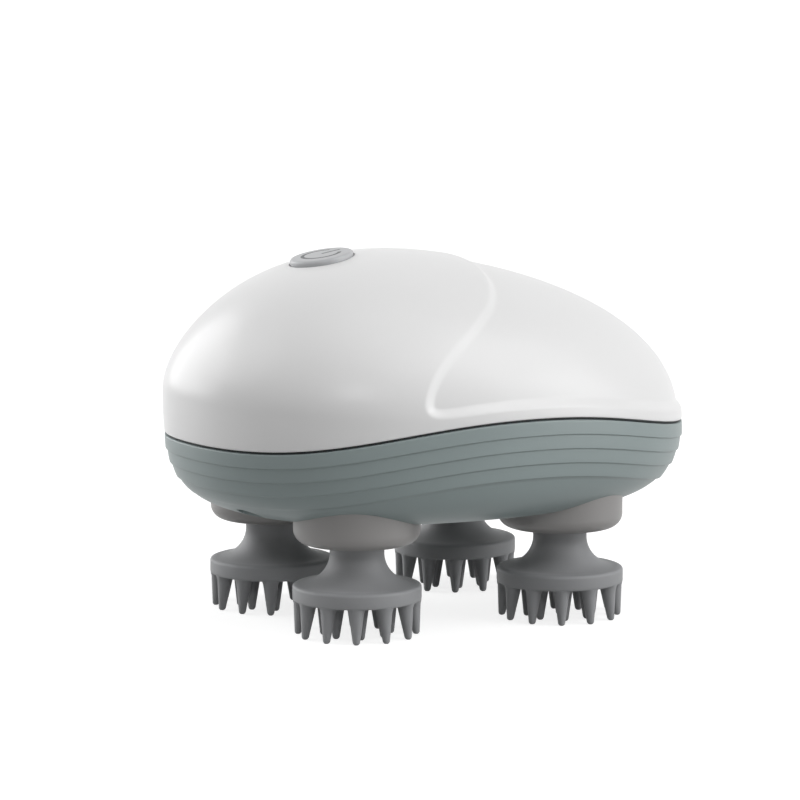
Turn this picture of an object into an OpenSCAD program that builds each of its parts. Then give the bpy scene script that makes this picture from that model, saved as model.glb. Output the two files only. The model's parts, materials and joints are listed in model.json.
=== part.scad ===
// Electric scalp massager: an egg-shaped two-part housing over four driven massage heads.
// Millimetres, +Z up. The finger tips stand on z = 0 and the housing is centred over the origin.
// The front (power button, tall dome) faces -X, the grip tail +X, and the left side -Y.

/* [Housing] */
// Length of the housing, front to tail
body_l = 124; // [122:0.5:129]
// Width of the housing
body_w = 92; // [91:0.5:96]
// Height of the crown above the table
crown_z = 83.6; // [82:0.1:88]
// How far the crown lies in front of the middle
crown_lead = 12.6; // [11:0.1:16]
// Height of the flat underside above the table
base_z = 24.5; // [24:0.1:25]
// Height of the widest girth, half way along
waist_z = 48; // [46:0.1:49]
// How much higher the girth is at the front than half way
waist_tilt = 4.8; // [4:0.1:6.5]
// Thickness of the moulded walls
wall = 2.4; // [2:0.1:2.6]

/* [Seam] */
// Mean height of the parting seam
seam_z = 44.9; // [44.3:0.1:46]
// Rise of the seam on both sides and its fall at the ends
seam_wave = 3.1; // [2:0.1:4]
// Flattening of the wave
seam_ripple = 1; // [0:0.1:1.5]
// How much higher the seam is at the front than the mean
seam_tilt = 0.1; // [0:0.05:1]
// Height of the dark joint between the two mouldings
seam_gap = 0.5; // [0.4:0.05:0.8]

/* [Grip panel] */
// Depth of the sunk grip panel on the tail
panel_drop = 1; // [0.6:0.1:1.2]
// Height of the rim left standing between the seam and the panel
rim_h = 3.1; // [2.6:0.1:5]
// Place of the panel's front edge on the crown, behind the middle
panel_top_x = 7; // [3:0.5:10]
// Place of the panel's foremost corner, in front of the middle
panel_low_x = 25.5; // [20:0.5:27]
// Radius of the panel's lower front corner
panel_r = 5; // [2:0.5:6]

/* [Lapped bands] */
// Number of lapped bands under the seam
band_n = 4; // [2:1:4]
// Height of one band
band_h = 3.2; // [3:0.1:3.6]
// How far a band's lower edge stands proud of the next band
band_step = 0.35; // [0.25:0.05:0.7]

/* [Massage heads] */
// Sideways distance of a front head's axis from the middle line
front_y = 20; // [19.6:0.1:20.4]
// Sideways distance of a rear head's axis from the middle line
rear_y = 23.5; // [22.8:0.1:23.8]
// Radius of a head's disc
disc_r = 14.4; // [13.8:0.1:14.8]
// Thickness of the disc's rim
disc_t = 3.5; // [3:0.1:4]
// Length of the fingers below the disc
finger_l = 7.9; // [7:0.1:8.5]
// Radius of a finger where it leaves the disc
finger_base_r = 1.9; // [1.6:0.1:2.1]
// Radius of a finger's round tip
finger_tip_r = 0.85; // [0.7:0.05:1]
// Number of fingers in the outer ring
outer_fingers = 12; // [10:1:13]
// Number of fingers in the inner ring
inner_fingers = 8; // [6:1:9]
// Radius of the neck
neck_r = 6.1; // [5.6:0.1:6.4]
// Radius of the collar that the neck turns in
collar_r = 14.2; // [13.8:0.1:14.4]
// Height of the collar's underside above the table
collar_z = 20.6; // [20:0.1:21]

/* [Drive] */
// Place of the drive gear's axis, in front of the middle
drive_lead = 2.2; // [1.5:0.1:3]
// Tooth module of the drive gear and the head gears
gear_m = 0.8; // [0.8:0.01:0.82]
// Teeth on the drive gear
drive_teeth = 50; // [49:1:51]
// Teeth on each head gear
head_teeth = 34; // [33:1:35]
// Face width of the spur gears
gear_face = 4.5; // [3.5:0.1:5]
// Tooth module of the worm and its wheel
worm_m = 0.7; // [0.68:0.01:0.71]
// Teeth on the worm wheel
wheel_teeth = 40; // [38:1:41]
// Pitch radius of the worm
worm_r = 4; // [3.8:0.1:4.4]
// Length of the worm's thread
worm_l = 11; // [10:0.5:14]
// Play between meshing teeth
backlash = 0.14; // [0.1:0.01:0.2]
// Radius of a head's spindle
spindle_r = 2; // [1.8:0.1:2.2]
// Radius of the drive gear's fixed axle
axle_r = 1.5; // [1.3:0.1:1.7]

/* [Motor and battery] */
// Share of the height over the gear plate that the motor fills
motor_fill = 0.51; // [0.46:0.01:0.51]
// Length of the motor's can
motor_l = 21; // [19:0.5:22]
// Radius of the motor's shaft
shaft_r = 1; // [0.9:0.05:1.2]
// Share of the height over the gear plate that the battery cell fills
cell_fill = 0.445; // [0.41:0.005:0.45]
// Length of the battery cell
cell_l = 65; // [60:1:66]

/* [Button] */
// Place of the power button's centre, in front of the middle
button_lead = 27; // [26:0.5:30]
// Lean of the button towards the front, in degrees
button_lean = 10; // [8:0.5:13]
// Radius of the button
button_r = 7.2; // [6.5:0.1:7.6]
// Gap round the button
button_gap = 0.3; // [0.2:0.05:0.4]
// Travel of the button
button_travel = 0.6; // [0.3:0.05:0.7]

/* [Charging port] */
// Height of the charging socket's axis
port_z = 36.6; // [36.4:0.1:36.8]
// Radius of the socket's bore
port_bore_r = 1.8; // [1.25:0.05:2]
// Depth of the socket's bore
port_bore_l = 12; // [10:0.5:13]
// Width of the port's cover
cover_w = 12; // [10:0.5:13]
// Height of the port's cover
cover_h = 7; // [6.8:0.1:7.2]

/* [Hidden] */

$fn = 48;
eps = 0.01;
slip = 0.05;          // radial play of a turning shaft
seat = 0.02;          // radial play of a fixed seat
play = 0.3;           // gap between parts that pass each other

// Exponents of the housing's outline: 2 is an ellipse, more is boxier
plan_n = 2.18;
dome_n = 1.9;
lean_n = 3.14;
fall_n = 2.56;        // how late the bowl starts to draw in under the seam
fall_n_tilt = 0.38;   // more so at the front than at the tail
floor_n = 7.3;        // how tightly it rounds onto the underside
ring_n = 64;          // points round the housing

dome_rows = 13;
inner_rows = 7;

/* ---- the housing's surface ---- */
function signed_pow(v, e) = sign(v) * pow(abs(v), e);
function waist_at(t) = waist_z - waist_tilt * cos(t);
function seam_at(t) = seam_z - seam_tilt * cos(t) - seam_wave * cos(2 * t) + seam_ripple * cos(4 * t);
function plan_x(t, g = 0) = (body_l / 2 - g) * signed_pow(cos(t), 2 / plan_n);
function plan_y(t, g = 0) = (body_w / 2 - g) * signed_pow(sin(t), 2 / plan_n);
function clamp01(v) = min(1, max(0, v));

// How far the outline has drawn in at height z, as a share of the girth
function dome_share(up) = pow(max(0, 1 - pow(up, dome_n)), 1 / dome_n);
function bowl_share(low, t) = pow(max(0, 1 - pow(low, fall_n - fall_n_tilt * cos(t))), 1 / floor_n);

// The point of the housing at plan angle t and height z, drawn in by g
function skin_at(t, z, g = 0) =
    let (w = waist_at(t),
         up = clamp01((z - w) / (crown_z - g - w)),
         low = clamp01((w - z) / (w - base_z - g)),
         s = z > w ? dome_share(up) : bowl_share(low, t))
    [plan_x(t, g) * s - crown_lead * pow(up, lean_n), plan_y(t, g) * s, z];

function ring_angles(n = ring_n) = [for (k = [0:n - 1]) 360 * k / n];

// A ring a share u of the way from the seam to the crown
function dome_ring(u, g, lift) = [for (t = ring_angles())
    let (z0 = seam_at(t) + lift) skin_at(t, z0 + (crown_z - g - z0) * sin(90 * u), g)];

// A ring a share u of the way from the seam down to the underside
function bowl_ring(u, g, drop) = [for (t = ring_angles())
    let (z0 = seam_at(t) - drop) skin_at(t, z0 - (z0 - base_z - g) * sin(90 * u), g)];

// A ring d below the seam that stands out by p
function band_ring(d, p) = [for (t = ring_angles())
    let (fade = clamp01((d - 3.2 * band_h) / band_h) * clamp01(-cos(t) * 1.6 - 0.5))
    skin_at(t, seam_at(t) - seam_gap / 2 - d, -p * (1 - fade))];

crown = [-crown_lead, 0, crown_z];

// A closed skin over a chain of rings, from one tip to the other
module skin(first_tip, rings, last_tip) {
    n = len(rings[0]);
    m = len(rings);
    points = [first_tip, for (r = rings) each r, last_tip];
    last = len(points) - 1;
    faces = [
        for (k = [0:n - 1]) [0, 1 + k, 1 + (k + 1) % n],
        for (i = [0:m - 2], k = [0:n - 1])
            let (a = 1 + i * n, b = a + n, l = (k + 1) % n)
                each [[a + k, b + l, a + l], [a + k, b + k, b + l]],
        for (k = [0:n - 1]) [1 + (m - 1) * n + k, last, 1 + (m - 1) * n + (k + 1) % n]
    ];
    polyhedron(points, faces, convexity = 6);
}

// The dome's wall between two insets
module dome_wall(g_out, g_in) {
    lift = seam_gap / 2;
    skin([crown[0], 0, crown_z - g_in],
        [for (i = [inner_rows - 1:-1:0]) dome_ring(i / inner_rows, g_in, lift),
         for (i = [0:dome_rows - 1]) dome_ring(i / dome_rows, g_out, lift)],
        [crown[0], 0, crown_z - g_out]);
}

// The whole dome as one solid, drawn in by g
module dome_solid(g) {
    skin([0, 0, seam_z], [for (i = [0:dome_rows - 1]) dome_ring(i / dome_rows, g, seam_gap / 2)],
        [crown[0], 0, crown_z - g]);
}

// The bowl's outer rings, from the underside up to the seam
bowl_turns = [0.95, 0.83, 0.68, 0.51, 0.34, 0.17];
band_lip = 0.12;      // height over which a band drops back at its lower edge
function bowl_outer() = [
    for (u = bowl_turns) bowl_ring(u, 0, band_n * band_h + band_lip + seam_gap / 2),
    for (i = [band_n - 1:-1:0]) each [band_ring((i + 1) * band_h + band_lip, 0),
        band_ring((i + 1) * band_h, band_step), band_ring((i + 0.5) * band_h, band_step / 2)],
    band_ring(0, 0)
];

/* ---- side outline of the sunk grip panel ---- */
function bezier(a, b, c, d, u) =
    pow(1 - u, 3) * a + 3 * pow(1 - u, 2) * u * b + 3 * (1 - u) * u * u * c + u * u * u * d;

panel_fall = 14;      // how far under the crown the panel's edge turns forward
ledge_angles = [for (t = [104:-8:0]) t];
panel_side = concat(
    [for (u = [0:0.1:1]) bezier([panel_top_x, crown_z + 1], [panel_top_x - 1.5, crown_z - panel_fall],
        [-panel_low_x, crown_z - panel_fall - 2], [-panel_low_x, seam_at(110) + rim_h - 1], u)],
    [for (t = ledge_angles) [plan_x(t), seam_at(t) + rim_h]],
    [[body_l, seam_at(0) + rim_h], [body_l, 2 * crown_z], [panel_top_x, 2 * crown_z]]);

module panel_prism() {
    rotate([90, 0, 0]) linear_extrude(2 * body_w, center = true)
        offset(r = panel_r) offset(delta = -panel_r) polygon(panel_side);
}

/* ---- places shared by several pieces ---- */
drive_x = -drive_lead;
gear_c = gear_m * (drive_teeth + head_teeth) / 2;
front_x = drive_x - sqrt(gear_c * gear_c - front_y * front_y);
rear_x = drive_x + sqrt(gear_c * gear_c - rear_y * rear_y);
front_left = [front_x, -front_y];
front_right = [front_x, front_y];
rear_left = [rear_x, -rear_y];
rear_right = [rear_x, rear_y];
corners = [front_left, front_right, rear_left, rear_right];

floor_z = base_z + wall;
collar_h = 13.4;
collar_top = collar_z + collar_h;
collar_hole_r = neck_r + 0.6;
collar_floor = 2.8;
seal_z = collar_z + 1.8;
seal_t = 1.15;
bush_z = seal_z + seal_t + 0.25;
bush_r = 2 * spindle_r;
bush_flange_z = collar_z + 8.4;
bush_flange_t = 1.1;
gear_z = collar_top + 1;
head_gear_tip = gear_m * (head_teeth / 2 + 1);
plate_z = gear_z + gear_face + 1.1;
plate_t = 2;
plate_top = plate_z + plate_t;
room_h = crown_z - plate_top;
motor_r = motor_fill * room_h / 2;
cell_r = cell_fill * room_h / 2;
motor_z = plate_top + 0.2 + motor_r;
wheel_face = 4;
wheel_r = worm_m * wheel_teeth / 2;
worm_y = -(wheel_r + worm_r);
wheel_tip = wheel_r + worm_m;
motor_x = drive_x + sqrt(pow(wheel_tip, 2) - pow(worm_y + motor_r, 2)) + 2 * play;
cell_y = 15.1 + cell_r;
cell_z = plate_top + 0.2 + cell_r;
cell_x = -1.5 - cell_l / 2;

post_r = 3.4;
post_x = gear_c - 4.1;
post_y = front_y + 12.2;
posts = [[drive_x - post_x, 0], [drive_x + post_x, 0], [drive_x, -post_y], [drive_x, post_y]];
boss_front = [-0.4 * body_l, 0.098 * body_w];
boss_rear = [0.376 * body_l, 0.114 * body_w];
shell_bosses = [for (b = [boss_front, boss_rear], s = [-1, 1]) [b[0], s * b[1]]];
pilot_h = 12;         // depth of a shell screw's pilot hole over the seam
boss_shelf = base_z + 6.6;
boss_joint = seam_z - 4;  // where the upper and lower bosses meet

// The button and the board under it lie square to the button's lean
button_z = skin_height(-button_lead);
function skin_height(x) = let (
    lo = crown_z - 4,
    steps = [for (i = [0:80]) let (z = lo + (crown_z - lo) * i / 80) [skin_at(180, z)[0], z]],
    near = [for (p = steps) if (p[0] >= x) p])
    near[0][1];
module button_frame() {
    translate([-button_lead, 0, button_z]) rotate([0, -button_lean, 0]) children();
}
well_r = button_r + 3.2;
well_z = -(wall + 1.8);
gasket_t = 0.6;
flange_r = button_r + 1.4;
flange_t = 1;
flange_z = well_z - gasket_t - seat - flange_t;
stem_l = 3.4;
plunger_top = flange_z - stem_l - slip;
switch_top = plunger_top - 1.3;
switch_h = 3.5;
board_z = switch_top - switch_h;
board_t = 1.6;
board_l = 34;
board_w = 24;
board_x = -17.5;
board_posts = [for (x = [board_x + 3, board_x + board_l - 3], y = [-9, 9]) [x, y]];

port_x = body_l / 2 - 3.3;
cover_t = 1.6;
cover_x = port_x + 0.2;
cover_z = port_z - cover_h / 2;
hinge_room = 0.9;
trunnion_r = 0.6;
trunnion_l = 1;
hinge = [cover_x + cover_t / 2, 0, cover_z + cover_t / 2];

/* ---- housing ---- */
module upper_shell() color([0.93, 0.94, 0.95]) {
    difference() {
        resize([0, 0, 0]) difference() {
            union() {
                difference() {
                    dome_wall(0, wall);
                    difference() {
                        panel_prism();
                        dome_solid(panel_drop);
                    }
                }
                intersection() {
                    dome_solid(wall - 0.6);
                    union() {
                        button_frame() translate([0, 0, well_z]) cylinder(h = 2.5 - well_z, r = well_r);
                        button_frame() for (p = board_posts) translate([p[0], p[1], board_z + board_t])
                            cylinder(h = 16, r = 2.3, $fn = 24);
                        for (p = shell_bosses) translate([p[0], p[1], boss_joint]) difference() {
                            cylinder(h = crown_z, r = post_r, $fn = 24);
                            translate([0, 0, -eps]) cylinder(h = 4 + pilot_h, r = 1.45, $fn = 24);
                        }
                    }
                }
            }
            button_frame() for (p = board_posts) translate([p[0], p[1], board_z + board_t - eps])
                cylinder(h = 7, r = 0.95, $fn = 16);
        }
        button_frame() translate([0, 0, well_z - 1]) cylinder(h = 12, r = button_r + button_gap);
    }
}

module port_recess() {
    translate([port_x, -cover_w / 2 - 0.2, cover_z - hinge_room])
        cube([10, cover_w + 0.4, cover_h + play + hinge_room]);
}

module lower_shell() color([0.5, 0.56, 0.56]) {
    difference() {
        resize([0, 0, 0]) difference() {
            union() {
                skin([0, 0, base_z], concat(bowl_outer(), bowl_smooth(wall)), [0, 0, floor_z]);
                intersection() {
                    bowl_solid(wall / 3);
                    lower_bosses();
                }
            }
            for (p = shell_bosses) translate([p[0], p[1], 0]) {
                cylinder(h = boss_shelf, r = 3.1, $fn = 24);
                cylinder(h = 60, r = 1.6, $fn = 24);
            }
            for (p = posts) translate([p[0], p[1], floor_z + 2]) cylinder(h = 30, r = 1.15, $fn = 16);
            for (p = corners) translate([p[0], p[1], collar_top])
                cylinder(h = plate_z - collar_top, r = head_gear_tip + play, $fn = 64);
            port_recess();
        }
        for (p = corners) translate([p[0], p[1], 0]) cylinder(h = collar_top + 0.2, r = collar_r + slip);
        translate([drive_x, 0, floor_z + 0.6]) cylinder(h = 20, r = axle_r + seat);
        translate([port_x - 20, 0, port_z]) rotate([0, 90, 0]) cylinder(h = 30, r = port_bore_r + 1.5);
        translate([hinge[0], 0, hinge[2]]) rotate([90, 0, 0])
            cylinder(h = cover_w + 2 * trunnion_l + 1, r = trunnion_r + slip, center = true);
    }
}

// The bowl without its bands, drawn in by g, from the seam down
function bowl_smooth(g) = [for (i = [0:inner_rows - 1]) bowl_ring(i / inner_rows, g, seam_gap / 2)];

module bowl_solid(g) {
    rings = bowl_smooth(g);
    skin([0, 0, base_z + g], [for (i = [inner_rows - 1:-1:0]) rings[i]], [0, 0, seam_z]);
}

module lower_bosses() {
    for (p = posts) translate([p[0], p[1], base_z]) cylinder(h = plate_z - base_z, r = post_r, $fn = 24);
    for (p = shell_bosses) translate([p[0], p[1], base_z])
        cylinder(h = boss_joint - 0.2 - base_z, r = post_r + 1, $fn = 24);
    translate([drive_x, 0, base_z]) cylinder(h = gear_z - 1.6 - base_z, r = 4, $fn = 32);
    translate([port_x - 5, -cover_w / 2 - 2.4, cover_z - hinge_room - 1.4])
        cube([8, cover_w + 4.8, cover_h + hinge_room + 2.6]);
}

// Soft ring that fills the joint between the two mouldings
module seam_gasket() color([0.08, 0.09, 0.09]) {
    half = seam_gap / 2 - 0.05;
    loops = [[0.5, -half], [0.5, half], [wall - 0.3, half], [wall - 0.3, -half]];
    n = ring_n;
    points = [for (c = loops, t = ring_angles())
        let (p = skin_at(t, seam_at(t), c[0])) [p[0], p[1], p[2] + c[1]]];
    faces = [for (i = [0:3], k = [0:n - 1])
        let (a = i * n, b = ((i + 1) % 4) * n, l = (k + 1) % n)
            each [[a + k, b + l, a + l], [a + k, b + k, b + l]]];
    polyhedron(points, faces, convexity = 4);
}

/* ---- collars, bushes and seals ---- */
module collar(p) color([0.56, 0.56, 0.55]) translate([p[0], p[1], 0]) rotate_extrude($fn = 96)
    polygon(concat(
        [[collar_hole_r, collar_z]],
        [for (a = [-90:15:0]) [collar_r - 3.2 + 3.2 * cos(a), collar_z + 3.2 + 3.2 * sin(a)]],
        [[collar_r, collar_top], [collar_r - 2, collar_top], [collar_r - 2, collar_z + collar_floor],
         [bush_r + 4.6, collar_z + collar_floor], [bush_r + 4.6, bush_flange_z],
         [bush_r + seat, bush_flange_z], [bush_r + seat, seal_z + seal_t + seat],
         [collar_hole_r, seal_z + seal_t + seat]]));

module bush(p) color([0.72, 0.55, 0.3]) translate([p[0], p[1], 0]) rotate_extrude($fn = 48)
    polygon([[spindle_r + slip, bush_z], [bush_r, bush_z], [bush_r, bush_flange_z + seat],
        [bush_r + 1.4, bush_flange_z + seat], [bush_r + 1.4, bush_flange_z + bush_flange_t],
        [spindle_r + slip, bush_flange_z + bush_flange_t]]);

module seal(p) color([0.15, 0.15, 0.15]) translate([p[0], p[1], seal_z]) difference() {
    cylinder(h = seal_t, r = collar_hole_r - seat);
    translate([0, 0, -1]) cylinder(h = seal_t + 2, r = spindle_r + 2 * slip);
}

/* ---- heads ---- */
disc_top = finger_l + disc_t;
neck_top = collar_z + 1;
flare_z = 18.3;
flare_r = disc_r - 0.8;
hub_r = neck_r - 2.2;
hub_z = 10;
spindle_z = hub_z + 3;

module finger(r_base, r_tip, ang) {
    tip = finger_tip_r - 0.1;
    run = finger_l - tip + 0.4;
    rotate([0, 0, ang]) translate([r_tip, 0, tip]) {
        rotate([0, -atan((r_tip - r_base) / run), 0])
            cylinder(h = norm([run, r_tip - r_base]), r1 = finger_tip_r, r2 = finger_base_r, $fn = 24);
        sphere(finger_tip_r + eps, $fn = 24);
    }
}

module head(p) color([0.45, 0.46, 0.47]) translate([p[0], p[1], 0]) difference() {
    union() {
        rotate_extrude($fn = 96) polygon(concat(
            [[0, finger_l], [disc_r - 0.3, finger_l], [disc_r, finger_l + 0.3],
             [disc_r, disc_top - 0.4], [disc_r - 0.4, disc_top]],
            [for (a = [90:-10:0]) [flare_r - (flare_r - neck_r) * cos(a),
                flare_z - (flare_z - disc_top - 0.3) * sin(a)]],
            [[neck_r, neck_top - 0.3], [neck_r - 0.3, neck_top], [0, neck_top]]));
        for (i = [0:outer_fingers - 1])
            finger(disc_r - finger_base_r - 0.2, disc_r - 1.3, 360 * i / outer_fingers);
        for (i = [0:inner_fingers - 1])
            finger(disc_r / 2, disc_r / 2 + 0.3, 360 * (i + 0.5) / inner_fingers);
        finger(0, 0, 0);
    }
    translate([0, 0, hub_z - slip]) cylinder(h = 20, r = hub_r + slip);
    translate([0, 0, -5]) cylinder(h = 5, r = 2 * disc_r);
}

module hub(p) color([0.82, 0.82, 0.8]) translate([p[0], p[1], hub_z]) difference() {
    cylinder(h = seal_z - 0.4 - hub_z, r = hub_r);
    translate([0, 0, spindle_z - hub_z - slip]) cylinder(h = 20, r = spindle_r + seat);
}

module spindle(p) color([0.75, 0.76, 0.78]) translate([p[0], p[1], spindle_z])
    cylinder(h = plate_top - 0.2 - spindle_z, r = spindle_r);

/* ---- gears ---- */
function involute(a) = tan(a) * 180 / PI - a;
// Half the angle that a tooth spans at radius r
function tooth_half(m, n, r) = let (rp = m * n / 2, rb = rp * cos(20))
    90 / n - backlash / 4 / rp * 180 / PI + involute(20) - (r > rb ? involute(acos(rb / r)) : 0);
// Outline of a gear of module m with n teeth and k points on each flank
function gear_points(m, n, k) = let (rp = m * n / 2, ri = rp - 1.25 * m, ra = rp + m,
        rs = [for (j = [0:k - 1]) ri + (ra - ri) * j / (k - 1)])
    [for (i = [0:n - 1], side = [-1, 1], j = [0:k - 1])
        let (r = rs[side < 0 ? j : k - 1 - j], a = 360 * i / n + side * tooth_half(m, n, r))
        r * [cos(a), sin(a)]];

// Turn that brings a head gear into mesh with the drive gear in direction f
function mesh_turn(f) = f + 180 - 180 / head_teeth + f * drive_teeth / head_teeth;

module spur(n) {
    difference() {
        linear_extrude(gear_face) polygon(gear_points(gear_m, n, 6));
        for (z = [-1, gear_face - 1]) translate([0, 0, z]) difference() {
            cylinder(h = 2, r = gear_m * n / 2 - 2.6);
            translate([0, 0, -1]) cylinder(h = 4, r = 6.4);
        }
    }
}

module head_gear(p) color([0.9, 0.88, 0.8]) translate([p[0], p[1], 0]) difference() {
    union() {
        translate([0, 0, gear_z]) rotate([0, 0, mesh_turn(atan2(p[1], p[0] - drive_x))]) spur(head_teeth);
        translate([0, 0, bush_flange_z + bush_flange_t + play])
            cylinder(h = gear_z + 1 - bush_flange_z - bush_flange_t - play, r = 4.6);
    }
    cylinder(h = 60, r = spindle_r + seat);
}

module drive_gear() color([0.9, 0.88, 0.8]) translate([drive_x, 0, 0]) difference() {
    union() {
        translate([0, 0, gear_z]) spur(drive_teeth);
        translate([0, 0, gear_z - 1.2]) cylinder(h = motor_z + wheel_face / 2 + 0.6 - gear_z + 1.2, r = 5);
        translate([0, 0, motor_z]) rotate([0, 0, -wheel_twist / 2])
            linear_extrude(wheel_face, center = true, twist = -wheel_twist, slices = 1)
                polygon(gear_points(worm_m, wheel_teeth, 4));
    }
    cylinder(h = 80, r = axle_r + slip);
}

// Turn of the worm wheel's teeth over their face, to match the worm's lead
worm_lead = PI * worm_m;
wheel_twist = wheel_face * worm_lead / (2 * PI * worm_r) / wheel_r * 180 / PI;

module gear_axle() color([0.75, 0.76, 0.78]) translate([drive_x, 0, floor_z + 0.65])
    cylinder(h = motor_z + wheel_face / 2 + 2 - floor_z - 0.65, r = axle_r);

worm_root = worm_r - 1.25 * worm_m;
worm_steps = 12;      // facets round the worm
worm_turns = 2 * round((worm_l / worm_lead - 1) / 2) + 1;
thread_half = worm_lead / 4 - backlash / 4;
foot_half = thread_half + (worm_r - worm_root) * tan(20);
worm_half = worm_turns * worm_lead / 2 + foot_half + 0.3;

// Corner c of the thread's section, k facets into turn m: the thread fades in and out at its ends
function worm_point(k, m, c) = let (
        u = m + k / worm_steps,
        top = c == 1 || c == 2,
        fade = clamp01(4 * min(u, worm_turns - u)),
        r = worm_root + (top ? (worm_r + worm_m - worm_root) * fade : 0),
        half = top ? thread_half - worm_m * tan(20) : foot_half,
        x = worm_lead * (u - worm_turns / 2) + (c < 2 ? -half : half),
        a = 360 * k / worm_steps)
    [min(worm_half, max(-worm_half, x)), r * cos(a), r * sin(a)];

// Worm with one right-hand thread: each column of points runs along it at one angle,
// and the last column joins the first one a turn further on
module worm_thread() {
    rows = 4 * (worm_turns + 2) + 2;
    points = concat([for (k = [0:worm_steps - 1]) each concat(
            [worm_point(k, -9, 0)],
            [for (m = [-1:worm_turns], c = [0:3]) worm_point(k, m, c)],
            [worm_point(k, worm_turns + 9, 0)])],
        [[-worm_half, 0, 0], [worm_half, 0, 0]]);
    last = len(points) - 1;
    faces = [for (k = [0:worm_steps - 1])
        let (wrap = k == worm_steps - 1, a = k * rows, b = wrap ? 0 : a + rows)
        each concat(
            [[last - 1, a, b], [last, b + rows - 1, a + rows - 1]],
            [for (j = [0:rows - 2])
                let (c = wrap && j > 0 ? min(j + 4, rows - 1) : j, d = wrap ? min(j + 5, rows - 1) : j + 1)
                each [[a + j, a + j + 1, b + d], [a + j, b + d, b + c]]])];
    polyhedron(points, faces, convexity = 8);
}

module along_x(x, y, z) translate([x, y, z]) rotate([0, 90, 0]) children();

module worm() color([0.93, 0.93, 0.9]) difference() {
    translate([drive_x, worm_y, motor_z]) worm_thread();
    along_x(drive_x - 20, worm_y, motor_z) cylinder(h = 40, r = shaft_r + seat);
}

shaft_x = drive_x - worm_half - 3.4;
cap_l = 2.4;
module rotor_shaft() color([0.75, 0.76, 0.78]) along_x(shaft_x, worm_y, motor_z)
    cylinder(h = motor_x + motor_l + cap_l - 0.6 - shaft_x, r = shaft_r);

rotor_r = motor_r - 3.4;
magnet_in = rotor_r + 0.5;
can_t = 0.8;          // wall of the motor's can
can_floor = 1;        // its closed front
snout_r = 3;          // bearing boss on the front
snout_l = 1.5;
core_x = 3.5;         // from the front to the iron core
core_l = motor_l - 9;
slot_w = 2.2;         // width of a winding slot
slot_d = 1.4;
commutator_r = 2.6;
commutator_l = 4.4;
magnet_x = 3;         // from the front to the magnets
magnet_l = motor_l - 8;
magnet_span = 130;    // degrees round the rotor
cap_rim = 1;          // step of the end cap inside the can
terminal_y = 5;       // solder tags, each side of the shaft
terminal_w = 1;
module armature() color([0.6, 0.45, 0.3]) along_x(motor_x, worm_y, motor_z) difference() {
    union() {
        translate([0, 0, core_x]) difference() {
            cylinder(h = core_l, r = rotor_r);
            for (a = [0, 120, 240]) rotate([0, 0, a]) translate([rotor_r - slot_d, -slot_w / 2, -1])
                cube([2 * slot_d, slot_w, motor_l]);
        }
        translate([0, 0, core_x + core_l - 0.3]) cylinder(h = commutator_l, r = commutator_r);
    }
    translate([0, 0, -1]) cylinder(h = 2 * motor_l, r = shaft_r + seat);
}

module motor_can() color([0.7, 0.71, 0.73]) along_x(motor_x, worm_y, motor_z) difference() {
    union() {
        cylinder(h = motor_l, r = motor_r);
        translate([0, 0, -snout_l]) cylinder(h = snout_l + can_floor / 2, r = snout_r);
    }
    translate([0, 0, can_floor]) cylinder(h = motor_l, r = motor_r - can_t);
    translate([0, 0, -3]) cylinder(h = 10, r = shaft_r + slip);
}

module motor_magnets() color([0.2, 0.2, 0.22]) along_x(motor_x + magnet_x, worm_y, motor_z)
    for (a = [0, 180]) rotate([0, 0, a - magnet_span / 2]) rotate_extrude(angle = magnet_span, $fn = 96)
        translate([magnet_in, 0]) square([motor_r - can_t - slip - magnet_in, magnet_l]);

module motor_end_cap() color([0.16, 0.16, 0.17]) along_x(motor_x + motor_l, worm_y, motor_z) {
    difference() {
        union() {
            translate([0, 0, seat]) cylinder(h = cap_l - seat, r = motor_r - 1);
            translate([0, 0, -cap_rim]) cylinder(h = 1.5 * cap_rim, r = motor_r - can_t - seat);
        }
        translate([0, 0, -2]) cylinder(h = cap_l + 1.6, r = shaft_r + slip);
    }
    for (s = [-1, 1]) translate([s * terminal_y - terminal_w / 2, -terminal_w, cap_l - eps])
        cube([terminal_w, 2 * terminal_w, 1.6 * terminal_w]);
}

/* ---- frame over the gears ---- */
pad_r = 9;            // plate round a spindle's end
saddle_h = 4.5;       // ribs that cradle the motor
saddle_t = 2.5;
cradle_h = 3.6;       // ribs that cradle the cell
cradle_t = 2;
strut_w = 7;          // post at the shaft's free end
strap_w = 6;          // strap over the motor
strap_t = 1;
strap_x = motor_x + 8;
foot_l = 3;
foot_t = 1.2;

module gear_cover() color([0.8, 0.81, 0.82]) difference() {
    union() {
        translate([0, 0, plate_z]) linear_extrude(plate_t) hull() {
            for (p = corners) translate(p) circle(pad_r);
            for (p = posts) translate(p) circle(post_r);
        }
        // saddles under the motor and the cell
        for (x = [motor_x + saddle_t, motor_x + motor_l - 2 * saddle_t])
            translate([x, worm_y - 0.7 * motor_r, plate_top - eps]) cube([saddle_t, 1.4 * motor_r, saddle_h]);
        for (x = [cell_x + 12, cell_x + cell_l - 12])
            translate([x, cell_y - 0.7 * cell_r, plate_top - eps]) cube([cradle_t, 1.4 * cell_r, cradle_h]);
        // post that carries the shaft's free end
        translate([shaft_x + 0.4, worm_y - strut_w / 2, plate_top - eps])
            cube([cradle_t, strut_w, motor_z + 3 - plate_top]);
    }
    for (p = corners) translate([p[0], p[1], plate_z - 1]) cylinder(h = 4, r = spindle_r + slip);
    for (p = posts) translate([p[0], p[1], plate_z - 1]) cylinder(h = 4, r = 1.5);
    translate([drive_x, 0, plate_z - 1]) cylinder(h = 4, r = 5 + slip);
    along_x(motor_x - 4, worm_y, motor_z) cylinder(h = motor_l + 8, r = motor_r + slip);
    along_x(cell_x - 4, cell_y, cell_z) cylinder(h = cell_l + 8, r = cell_r + slip);
    along_x(shaft_x - 4, worm_y, motor_z) cylinder(h = 8, r = shaft_r + slip);
}

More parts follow.
